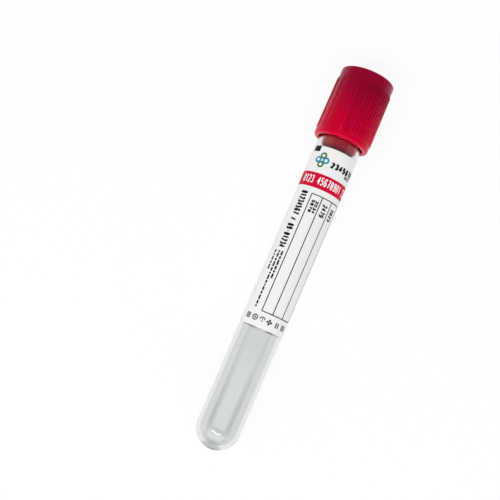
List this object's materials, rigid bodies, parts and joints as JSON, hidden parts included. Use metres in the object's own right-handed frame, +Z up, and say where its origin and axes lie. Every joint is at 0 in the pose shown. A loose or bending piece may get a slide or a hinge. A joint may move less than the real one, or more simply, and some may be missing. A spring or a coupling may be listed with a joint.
{
  "type": "blood collection tube",
  "caption": "Clear round-bottomed collection tube with a paper label, closed by a rubber stopper in a ribbed red cap that pulls off.",
  "frame": {"origin": "on the floor, under the middle of the lying tube's box", "axes": "+Y from the tube's round end towards its cap, +Z up, +X to the right seen from above with the cap away from the viewer"},
  "size_m": [0.0166, 0.1134, 0.0166],
  "materials": {
    "clear_plastic": "clear, faintly hazy moulded plastic",
    "label_paper": "white satin label paper",
    "cap_plastic": "satin moulded plastic",
    "stopper_rubber": "smooth dark red rubber"
  },
  "bodies": {
    "tube": {"tube": "clear_plastic", "label": "label_paper"},
    "cap": {"cap": "cap_plastic", "stopper": "stopper_rubber"}
  },
  "joints": [
    {"name": "cap_pull", "type": "slide", "parent": "tube", "child": "cap", "axis": [0, 0.9997, 0.023], "range_m": [0, 0.03]}
  ]
}
